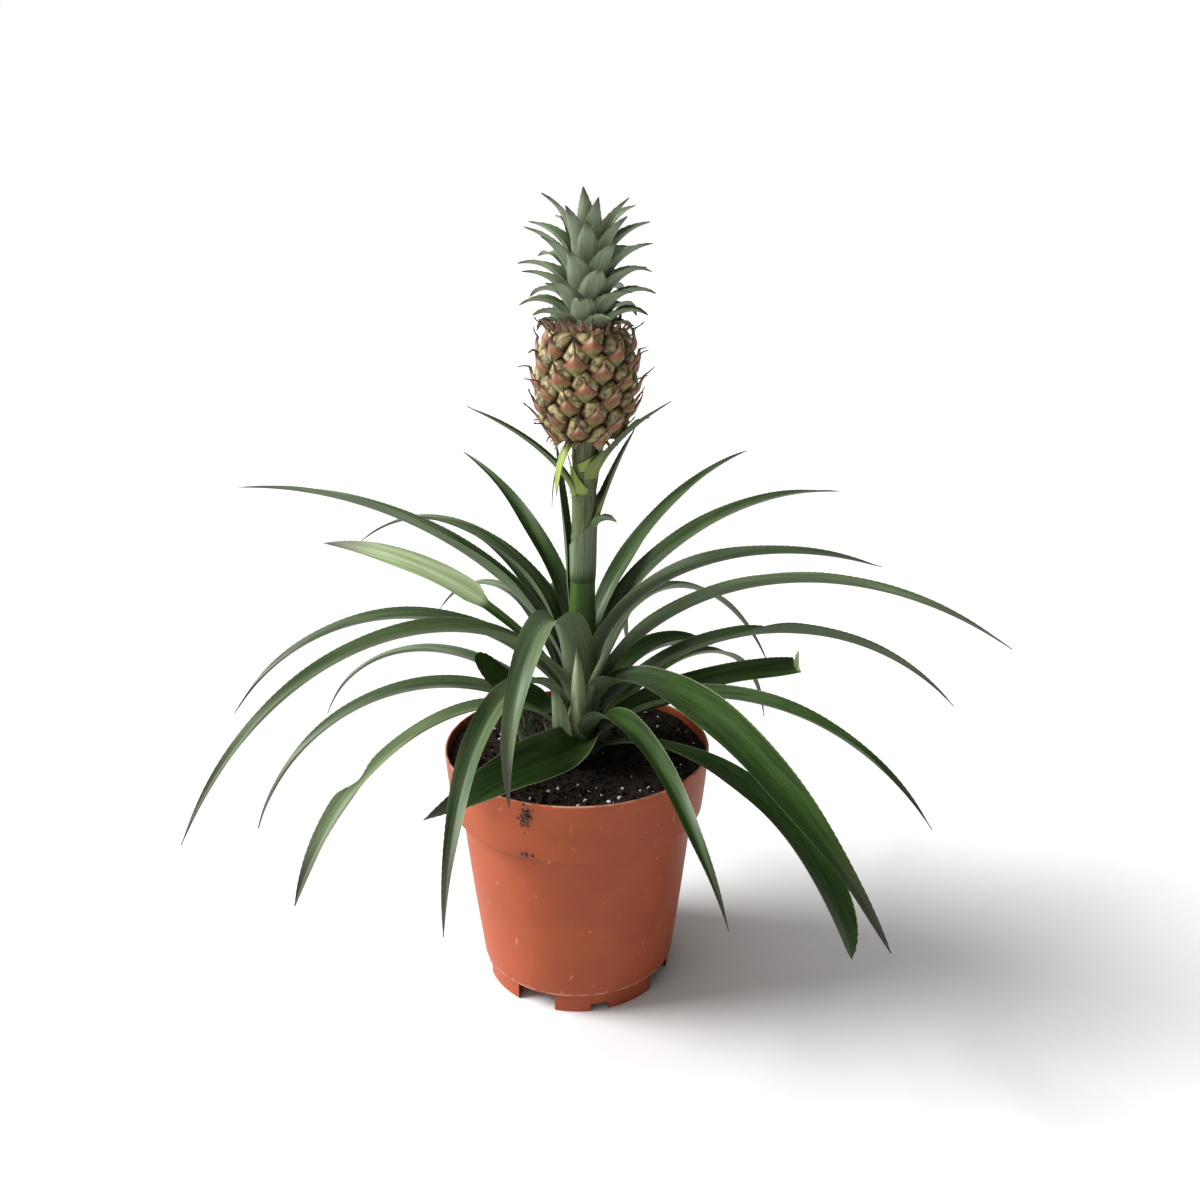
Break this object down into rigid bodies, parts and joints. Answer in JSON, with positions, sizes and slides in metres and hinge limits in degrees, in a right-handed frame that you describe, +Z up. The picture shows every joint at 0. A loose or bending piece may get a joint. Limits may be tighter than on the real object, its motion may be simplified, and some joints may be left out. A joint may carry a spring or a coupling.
{
  "type": "potted pineapple plant",
  "caption": "Ornamental pineapple plant in a nursery pot: rosette of long arching leaves, upright stalk, and one small fruit with a leafy crown.",
  "frame": {"origin": "on the floor, on the pot's vertical axis, under the middle of the plant's spread", "axes": "+Z up along the pot's axis and the stalk; -Y is the front, where the short broad olive leaf hangs over the rim at front left; +X is to the right seen from the front"},
  "size_m": [0.3594, 0.3066, 0.3831],
  "materials": {
    "pot": "matte",
    "soil": "matte",
    "stem": "satin",
    "leaf": "satin",
    "fruit": "satin",
    "crown": "satin"
  },
  "bodies": {
    "root": {"crown": "crown", "fruit": "fruit", "heart_leaf_1": "leaf", "heart_leaf_2": "leaf", "leaf_01": "leaf", "leaf_02": "leaf", "leaf_03": "leaf", "leaf_04": "leaf", "leaf_05": "leaf", "leaf_06": "leaf", "leaf_07": "leaf", "leaf_08": "leaf", "leaf_09": "leaf", "leaf_10": "leaf", "leaf_11": "leaf", "leaf_12": "leaf", "leaf_13": "leaf", "leaf_14": "leaf", "leaf_15": "leaf", "leaf_16": "leaf", "leaf_17": "leaf", "leaf_18": "leaf", "leaf_19": "leaf", "leaf_20": "leaf", "leaf_21": "leaf", "leaf_22": "leaf", "leaf_23": "leaf", "leaf_24": "leaf", "leaf_25": "leaf", "leaf_26": "leaf", "leaf_27": "leaf", "leaf_28": "leaf", "leaf_29": "leaf", "leaf_30": "leaf", "leaf_31": "leaf", "offshoot_1": "leaf", "offshoot_2": "leaf", "pot": "pot", "soil": "soil", "stalk_leaf_1": "leaf", "stalk_leaf_2": "leaf", "stalk_leaf_3": "leaf", "stalk_leaf_4": "leaf", "stalk_leaf_5": "leaf", "stalk_leaf_6": "leaf", "stem": "stem"}
  },
  "joints": []
}
